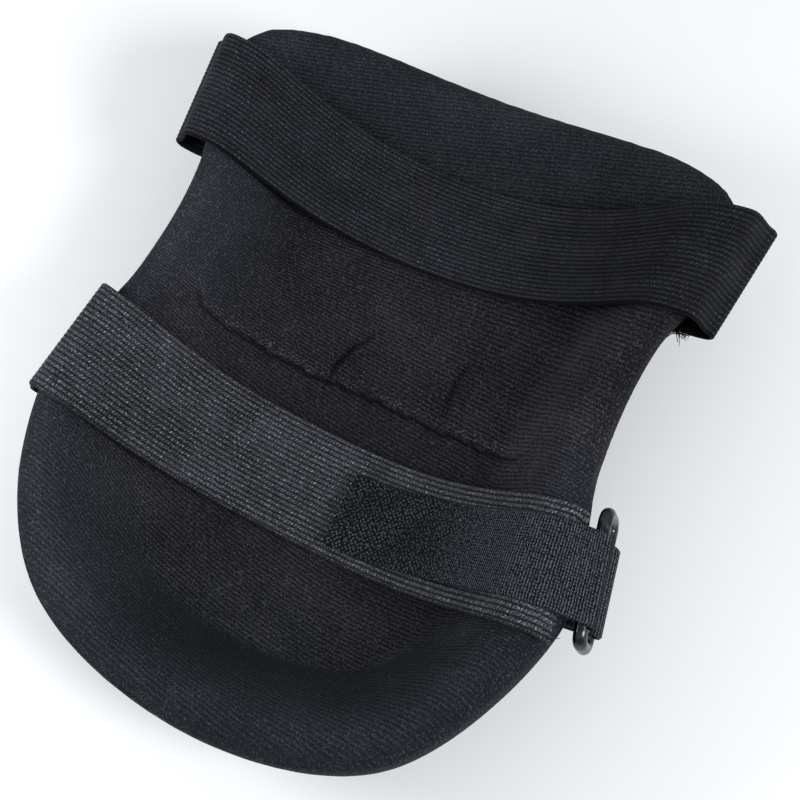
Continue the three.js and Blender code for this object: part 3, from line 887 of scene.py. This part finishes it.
U_STEPS = np.linspace(-1, 1, 181)
SUPPORT_ROWS = np.linspace(0, 1, 9)[:, None]
TUCK_STATIONS = 18
FOLD_STATIONS = 15
STATION_LENGTH = 0.9
STRAP_SETTLING = 4
TAIL_SETTLING = 3
MOST_SELVEDGE = 0.97
ROWS_PER_RIB = 4


def grid(x, y, z):
    """Rows of points from coordinates that may be given once for each row, for each station or for all."""
    return np.stack(np.broadcast_arrays(x, y, z), -1)


def row_y(strap, share):
    return lerp(strap["upper_y"], strap["lower_y"], share)


def row_span(strap, share):
    return lerp(strap["upper_span"], strap["lower_span"], share)


def row_reach(strap, share):
    return row_span(strap, share) - FOLD_RADIUS - STRAP_THICKNESS / 2


def shift_at(strap, share, u):
    bow = lerp(strap["upper_bow"], strap["lower_bow"], share)
    return bow * (1 - np.abs(u) ** strap["bow_power"]) + strap["tilt"] * u


def foam_support(strap):
    """Lowest heights of a strap's middle layer above the foam."""
    x = U_STEPS * row_reach(strap, SUPPORT_ROWS)
    y = row_y(strap, SUPPORT_ROWS) + shift_at(strap, SUPPORT_ROWS, U_STEPS)
    near = np.where(np.abs(U_STEPS) > RIM_SHARE, np.sign(x) * RIM_REACH, 0)
    slope = inner_level(x + SLOPE_STEP, y) - inner_level(x - SLOPE_STEP, y)
    steep = np.minimum(MOST_STEEPNESS, np.hypot(1, slope))
    level = inner_level(x - near, y) + (STRAP_GAP + STRAP_THICKNESS / 2) * steep
    level = np.where(in_from_edge(x - near, y) > 0, level, 0).max(0)
    return np.where(level > 0, level, FOLD_LEVEL + FOLD_RADIUS)


def drape(lowest):
    """A band laid on its supports and let go slack over the hollows between them."""
    level = lowest.copy()
    for _ in range(SLACK_PASSES):
        eased = level.copy()
        eased[1:-1] = (level[:-2] + level[1:-1] + level[2:]) / 3
        level = np.maximum(lowest, eased)
    return level


def layer_on(strap, base):
    """Lowest heights of one more layer on a band that is already laid."""
    slope = np.gradient(base, U_STEPS * row_reach(strap, 0.5))
    return base + LAYER * np.minimum(MOST_STEEPNESS, np.hypot(1, slope))


def under_foam(x, y, layers):
    """Height of a layer sewn under the foam's sloping edge."""
    along_x = front_level(x + SLOPE_STEP, y) - front_level(x - SLOPE_STEP, y)
    along_y = front_level(x, y + SLOPE_STEP) - front_level(x, y - SLOPE_STEP)
    steep = np.minimum(MOST_UNDER_STEEPNESS, np.sqrt(1 + along_x ** 2 + along_y ** 2))
    return front_level(x, y) - (UNDER_GAP + STRAP_THICKNESS / 2 + layers * LAYER) * steep


def folded_end(strap, shares, side):
    """Rows of a strap's end, from the sewn end to just before the fold's top."""
    y = row_y(strap, shares) + shift_at(strap, shares, side)
    reach = row_reach(strap, shares)
    back = np.linspace(strap["tuck"], FOLD_RADIUS, TUCK_STATIONS)
    x = reach - back
    z = np.minimum(under_foam(x, y, 0), FOLD_LEVEL - FOLD_RADIUS)
    tuck = grid(side * x, y, z)
    turn = np.linspace(-math.pi / 2, math.pi / 2, FOLD_STATIONS)[:-1]
    fold = grid(side * (reach + FOLD_RADIUS * np.cos(turn)), y, FOLD_LEVEL + FOLD_RADIUS * np.sin(turn))
    return np.concatenate([tuck, fold], 1)


def across_pad(strap, shares, level, start, end, skew=0.0):
    """Rows of a band laid across the pad at given levels, between two shares of the strap's reach."""
    count = int(abs(end - start) * strap["upper_span"] / STATION_LENGTH)
    u = np.linspace(start, end, count)
    x = u * row_reach(strap, shares)
    y = row_y(strap, shares) + shift_at(strap, shares, u) - skew * (1 - u)
    return grid(x, y, np.interp(u, U_STEPS, level))


def settle(rows, passes):
    """Evens out the joints between the stretches of a band's path."""
    rows = rows.copy()
    for _ in range(passes):
        rows[:, 1:-1] = (rows[:, :-2] + 2 * rows[:, 1:-1] + rows[:, 2:]) / 4
    return rows


def make_band(name, rows, ribs, rib_height):
    """A woven band from rows of points across its width, with ribs along it and rounded selvedges."""
    along = np.gradient(rows, axis=1)
    across = np.gradient(rows, axis=0)
    normal = np.cross(across, along)
    normal /= np.linalg.norm(normal, axis=2)[..., None]
    count = rows.shape[0]
    share = np.linspace(0, 1, count)
    width = np.linalg.norm(np.diff(rows[:, rows.shape[1] // 2], axis=0), axis=1).sum()
    half = STRAP_THICKNESS / 2
    profile = half - rib_height + rib_height * np.abs(np.sin(math.pi * ribs * share))
    from_edge = np.minimum(share, 1 - share) * width
    profile *= np.sqrt(1 - np.clip(1 - from_edge / half, 0, MOST_SELVEDGE) ** 2)
    upper = rows + normal * profile[:, None, None]
    lower = rows - normal * profile[:, None, None]
    loop = np.concatenate([upper, lower[::-1]], 0).transpose(1, 0, 2)
    stations, ring = loop.shape[:2]
    faces = [face[::-1] for face in band_faces(stations, ring)]
    last = (stations - 1) * ring
    for j in range(count - 1):
        faces.append((j, j + 1, ring - 2 - j, ring - 1 - j))
        faces.append((last + j + 1, last + j, last + ring - 1 - j, last + ring - 2 - j))
    band = make_object(name, loop.reshape(-1, 3), faces)
    middle = rows[count // 2]
    distance = np.concatenate([[0], np.cumsum(np.linalg.norm(np.diff(middle, axis=0), axis=1))])
    lateral = np.concatenate([share, share[::-1]]) * width
    u = np.repeat(distance, ring) * MM
    v = np.tile(lateral, stations) * MM
    corners = np.empty(len(band.data.loops), np.int32)
    band.data.loops.foreach_get("vertex_index", corners)
    layer = band.data.uv_layers.new(name="weave")
    layer.data.foreach_set("uv", np.column_stack([u[corners], v[corners]]).astype(np.float32).ravel())
    return band, u, distance[-1]


def rib_rows(ribs):
    return np.linspace(0, 1, ribs * ROWS_PER_RIB + 1)[:, None]


# Painted shade along a strap's lower edge and on its underside.
EDGE_LOSS = 0.7
EDGE_FROM = 1.1
EDGE_TO = 0.3
UNDERSIDE_PAINTED_SHADE = 0.3


def shaded_edge(strap, count):
    """Painted shade on a strap's points: on its underside and along its lower edge, where the strap shades
    itself.
    """
    across = np.linspace(0, ELASTIC_WIDTH, count)
    upper = 1 - EDGE_LOSS * smoothstep(across, ELASTIC_WIDTH - EDGE_FROM, ELASTIC_WIDTH - EDGE_TO)
    ring = np.concatenate([upper, np.full(count, UNDERSIDE_PAINTED_SHADE)])
    return np.tile(ring, len(strap.data.vertices) // len(ring))


# Painted light on the upper strap, lighter at the left and darker towards the right; the lower strap is
# lighter all over.
TOP_PAINTED_LIGHT = (1.5, 0.9)
TOP_PAINTED_LIGHT_STRETCH = (-10, 70)
LOW_STRAP_LIGHTNESS = 1.15
CORNER_STATION = -16
CORNER_RUN = (5, 0, 1.5)
CORNER_THREADS = dict(name="strap_corner_threads", aim=(0.2, -1, 0.1), count=24, longest=3.0, seed=3)
RAGGED_THREADS = dict(name="ragged_end_threads", aim=(1, -0.6, 0.1), count=26, longest=1.7, seed=5)
RAGGED_ROW = -12


def make_top_strap(material):
    shares = rib_rows(TOP_RIBS)
    level = drape(foam_support(TOP_STRAP))
    rows = np.concatenate([
        folded_end(TOP_STRAP, shares, -1),
        across_pad(TOP_STRAP, shares, level, -1, 1),
        folded_end(TOP_STRAP, shares, 1)[:, ::-1],
    ], 1)
    rows = settle(rows, STRAP_SETTLING)
    strap, _, _ = make_band("upper_elastic", rows, TOP_RIBS, RIB_HEIGHT)
    # Painted light, lighter at the left and darker towards the right, times the strap's painted edge shade.
    painted_light = lerp(*TOP_PAINTED_LIGHT, smoothstep(vertex_x(strap), *TOP_PAINTED_LIGHT_STRETCH))
    store(strap, "painted_light", painted_light * shaded_edge(strap, len(shares)))
    fold = rows[-1, CORNER_STATION]
    make_threads(fold, fold - CORNER_RUN, material, **CORNER_THREADS)
    finish_piece(strap, ["top_strap"], material)


# Levels of the tail's start on the foam, of the lower strap over it and of the tail's free end on top.
LAP_FROM = 0.14
LAP_TO = 0.04
tail_bed = foam_support(LOW_STRAP)
start_level = drape(tail_bed)
lap = smoothstep(U_STEPS, TAIL["start"] - LAP_FROM, TAIL["start"] - LAP_TO)
low_level = drape(lerp(tail_bed, layer_on(LOW_STRAP, start_level), lap))
free_level = drape(layer_on(LOW_STRAP, low_level))


RAGGED_END = dict(reach=3.6, level=RING_UPPER_LEVEL + 2.9, steps=6, waves=[(0.5, 41, 0), (0.4, 97, 1)])


def make_low_strap(material):
    shares = rib_rows(LOW_RIBS)
    flat = across_pad(LOW_STRAP, shares, low_level, -1, LOW_STRAP_END)
    raggedness = sum(size * np.sin(shares * pace + phase) for size, pace, phase in RAGGED_END["waves"])
    end_x = flat[:, -1:, 0] + RAGGED_END["reach"] + raggedness
    end = grid(end_x, flat[:, -1:, 1], RAGGED_END["level"])
    out = np.linspace(0, 1, RAGGED_END["steps"] + 1)[1:, None]
    rows = np.concatenate([folded_end(LOW_STRAP, shares, -1), flat, lerp(flat[:, -1:], end, out)], 1)
    rows = settle(rows, STRAP_SETTLING)
    strap, _, _ = make_band("lower_elastic", rows, LOW_RIBS, RIB_HEIGHT)
    store(strap, "painted_light", LOW_STRAP_LIGHTNESS * shaded_edge(strap, len(shares)))
    make_threads(rows[RAGGED_ROW, -1], rows[-1, -1], material, **RAGGED_THREADS)
    finish_piece(strap, ["low_strap"], material)


THREAD_SIDES = 5
THREAD_STEPS = 7
THREAD_SPREAD = 0.4
THREAD_BEND = 0.8
SHORTEST_SHARE = 0.3
THREAD_TAPER = 0.4
ACROSS_THREAD = (0.3, 0.2, 1)
THREAD_WEAVE = 0.01


def make_threads(first, last, material, name, aim, count, longest, seed):
    """Loose thread ends that stand out of a cut edge."""
    random = np.random.default_rng(seed)
    sides = THREAD_SIDES
    steps = np.linspace(0, 1, THREAD_STEPS)[:, None]
    turn = np.linspace(0, 2 * math.pi, sides, endpoint=False)[:, None]
    points, faces = [], []
    for _ in range(count):
        root = lerp(first, last, random.random())
        heading = np.array(aim) + random.normal(0, THREAD_SPREAD, 3)
        heading /= np.linalg.norm(heading)
        bend = random.normal(0, THREAD_BEND, 3)
        length = longest * random.uniform(SHORTEST_SHARE, 1)
        middle = root + length * (heading * steps + bend * steps ** 2)
        side = np.cross(heading, ACROSS_THREAD)
        side /= np.linalg.norm(side)
        circle = THREAD_RADIUS * (np.cos(turn) * side + np.sin(turn) * np.cross(side, heading))
        base = len(points) * len(steps) * sides
        points.append((middle[:, None] + circle * (1 - THREAD_TAPER * steps[..., None])).reshape(-1, 3))
        tube = band_faces(len(steps), sides) + [tuple(range(sides))]
        tube.append(tuple(range(len(steps) * sides - 1, (len(steps) - 1) * sides - 1, -1)))
        faces += [tuple(base + v for v in face) for face in tube]
    threads = make_object(name, np.concatenate(points), faces)
    layer = threads.data.uv_layers.new(name="weave")
    layer.data.foreach_set("uv", random.random(2 * len(threads.data.loops)) * THREAD_WEAVE)
    store(threads, "painted_light", np.ones(len(threads.data.vertices)))
    finish_piece(threads, [], material)


def strap_share(y):
    return (y - LOW_STRAP["upper_y"]) / (LOW_STRAP["lower_y"] - LOW_STRAP["upper_y"])


def ring_x(y):
    """Where the ring's upper bar is along X, at a place along Y."""
    return row_span(LOW_STRAP, strap_share(y)) + RING_SPAN_OFFSET + RING_SLANT * (RING_MIDDLE_Y - y)


def arc(x, y, z, start, end, steps):
    """Rows of a band's turn round a bar of the ring."""
    turn = np.linspace(start, end, steps + 1)
    return grid(x + WRAP_RADIUS * np.cos(turn), y, z + WRAP_RADIUS * np.sin(turn))


TAIL_ROWS = np.linspace(0, 1, 41)[:, None]
HOOK_PATCH = (26, 64)
WRAP_STEPS = 28
WRAP_END = 2.6 * math.pi
FOLD_DARKENS = (0.3, 0.5)
FOLD_LIGHTENS = (0.68, 0.8)
TAB_STATIONS = 14
TAB_WRAP_STEPS = 26
TAB_WRAP = (0.95 * math.pi, -0.55 * math.pi)


def make_tail(material):
    y = row_y(TAIL, TAIL_ROWS)
    shares = strap_share(y)
    under = across_pad(LOW_STRAP, shares, start_level, TAIL["start"], TAIL["turn"])
    wrap = arc(ring_x(y), y + LOW_STRAP["tilt"], RING_UPPER_LEVEL, math.pi, WRAP_END, WRAP_STEPS)
    over = across_pad(LOW_STRAP, shares, free_level, LOW_STRAP_END, TAIL["end"], TAIL["skew"])
    rows = np.concatenate([under, wrap, over], 1)
    settled = settle(rows, TAIL_SETTLING)
    tail, u, length = make_band("hook_webbing_tail", settled, WEBBING_RIBS, WEBBING_RIB_HEIGHT)
    from_tip = length - u / MM
    store(tail, "hook_patch", 1 - smoothstep(from_tip, *HOOK_PATCH))
    station = np.repeat(np.arange(rows.shape[1]), len(u) // rows.shape[1])
    turned = (station - under.shape[1]) / WRAP_STEPS
    store(tail, "fold_shade", smoothstep(turned, *FOLD_DARKENS) * (1 - smoothstep(turned, *FOLD_LIGHTENS)))
    finish_piece(tail, ["hook_tail"], material)


def make_tab(material):
    y = row_y(TAIL, TAIL_ROWS)
    turn_y = y + LOW_STRAP["tilt"]
    x = ring_x(y) + RING_LEAN
    back = np.linspace(TAB_TUCK, TAB_FREE, TAB_STATIONS)
    place = x - WRAP_RADIUS - back
    runs = [grid(place, turn_y, under_foam(place, turn_y, layers)) for layers in (0, 1)]
    loop = arc(x, turn_y, RING_UPPER_LEVEL - RING_DROP, *TAB_WRAP, TAB_WRAP_STEPS)
    settled = settle(np.concatenate([runs[0], loop, runs[1][:, ::-1]], 1), TAIL_SETTLING)
    tab, u, _ = make_band("ring_webbing_tab", settled, WEBBING_RIBS, WEBBING_RIB_HEIGHT)
    store(tab, "hook_patch", np.zeros(len(u)))
    finish_piece(tab, ["ring_tab"], material)


RING_SIDES = 28
RING_CORNER_STEPS = 12


def make_ring(material):
    """A closed wire along a rounded rectangle hung between the two bars."""
    start = np.array([ring_x(RING_MIDDLE_Y), RING_MIDDLE_Y + LOW_STRAP["tilt"], RING_UPPER_LEVEL])
    bar = np.array([ring_x(RING_MIDDLE_Y - 1) - ring_x(RING_MIDDLE_Y), -1, 0])
    bar /= np.linalg.norm(bar)
    down = np.array([RING_LEAN, 0, -RING_DROP], float)
    drop = np.linalg.norm(down)
    down /= drop
    facing = np.cross(bar, down)
    half = RING_LENGTH / 2 - RING_CORNER
    corners = [
        (half, RING_CORNER, -math.pi / 2),
        (half, drop - RING_CORNER, 0),
        (-half, drop - RING_CORNER, math.pi / 2),
        (-half, RING_CORNER, math.pi),
    ]
    round_turn = np.linspace(0, 2 * math.pi, RING_SIDES, endpoint=False)[:, None]
    loops = []
    for along, below, first in corners:
        for turn in np.linspace(first, first + math.pi / 2, RING_CORNER_STEPS + 1):
            outward = bar * math.cos(turn) + down * math.sin(turn)
            centre = start + bar * along + down * below + outward * RING_CORNER
            loops.append(centre + RING_WIRE * (np.cos(round_turn) * outward + np.sin(round_turn) * facing))
    total = len(loops) * RING_SIDES
    faces = [tuple(v % total for v in face) for face in band_faces(len(loops) + 1, RING_SIDES)]
    ring = make_object("wire_ring", np.concatenate(loops), faces)
    finish_piece(ring, ["ring"], material)


# Stage: floor in mm, lights in metres and watts, and the camera as fitted to the photograph.
FLOOR_HALF = 3000
FLOOR_NOISE = 4.0
FLOOR_SHADES = ((0.86, 0.86, 0.86), (0.9, 0.9, 0.9))
WORLD_COLOUR = (0.95, 0.98, 1.0, 1)
WORLD_STRENGTH = 0.55
LIGHTS = [
    # name, place, size, power, colour
    ("near_left", (-0.34, -0.14, 0.24), 0.2, 1.1, (0.95, 0.985, 1.0)),
    ("right", (0.73, -0.05, 0.58), 0.35, 6.2, (0.96, 0.985, 1.0)),
]
LIGHT_TARGET = (0, 0, 0.03)
CAMERA_AZIMUTH = math.radians(50.45)
CAMERA_ELEVATION = math.radians(67.79)
CAMERA_ROLL = math.radians(-25.06)
CAMERA_DISTANCE = 440.1
CAMERA_ANGLE = math.radians(30)
CAMERA_SHIFT = (0.0567, -0.0355)
NEAREST_SEEN = 0.01


def make_floor():
    half = FLOOR_HALF
    corners = [(-half, -half, 0), (half, -half, 0), (half, half, 0), (-half, half, 0)]
    floor = make_object("floor", corners, [(0, 1, 2, 3)], smooth=False)
    material, tree, shader = new_material("pale_floor")
    tree.links.new(blend(tree, noise(tree, FLOOR_NOISE), *FLOOR_SHADES), shader.inputs["Base Color"])
    set_inputs(shader, {"Roughness": 0.9, "Specular IOR Level": 0.1})
    floor.data.materials.append(material)


def make_lights():
    world = bpy.data.worlds.new("studio")
    bpy.context.scene.world = world
    world.use_nodes = True
    set_inputs(world.node_tree.nodes["Background"], {"Color": WORLD_COLOUR, "Strength": WORLD_STRENGTH})
    for name, place, size, power, colour in LIGHTS:
        light = bpy.data.lights.new(name, "AREA")
        light.shape = "DISK"
        light.size = size
        light.energy = power
        light.color = colour
        lamp = bpy.data.objects.new(name, light)
        bpy.context.scene.collection.objects.link(lamp)
        lamp.location = place
        lamp.rotation_euler = (Vector(LIGHT_TARGET) - Vector(place)).to_track_quat("-Z", "Y").to_euler()


def make_camera():
    """The camera at the photograph's angle."""
    azimuth, elevation, roll = CAMERA_AZIMUTH, CAMERA_ELEVATION, CAMERA_ROLL
    flat = math.cos(elevation)
    back = np.array([math.sin(azimuth) * flat, -math.cos(azimuth) * flat, math.sin(elevation)])
    level = np.array([math.cos(azimuth), math.sin(azimuth), 0])
    above = np.cross(back, level)
    right = level * math.cos(roll) + above * math.sin(roll)
    up = above * math.cos(roll) - level * math.sin(roll)
    eye = back * CAMERA_DISTANCE + (0, 0, SIDE_CREST - CREST_ROUND)
    camera = bpy.data.objects.new("camera", bpy.data.cameras.new("camera"))
    bpy.context.scene.collection.objects.link(camera)
    turn = Matrix((right, up, back)).transposed().to_4x4()
    camera.matrix_world = Matrix.Translation(Vector(eye * MM)) @ turn
    camera.data.angle = CAMERA_ANGLE
    camera.data.shift_x, camera.data.shift_y = CAMERA_SHIFT
    camera.data.clip_start = NEAREST_SEEN
    bpy.context.scene.camera = camera
    bpy.context.scene.view_settings.view_transform = "Standard"


make_floor()
make_lights()
make_camera()
webbing = webbing_material()
make_pad(knit_material())
make_shell(hard_material(**MOULDED_SHELL))
make_top_strap(elastic_material(**UPPER_ELASTIC))
make_low_strap(elastic_material(**LOWER_ELASTIC))
make_tail(webbing)
make_tab(webbing)
make_ring(hard_material(**DARK_WIRE))
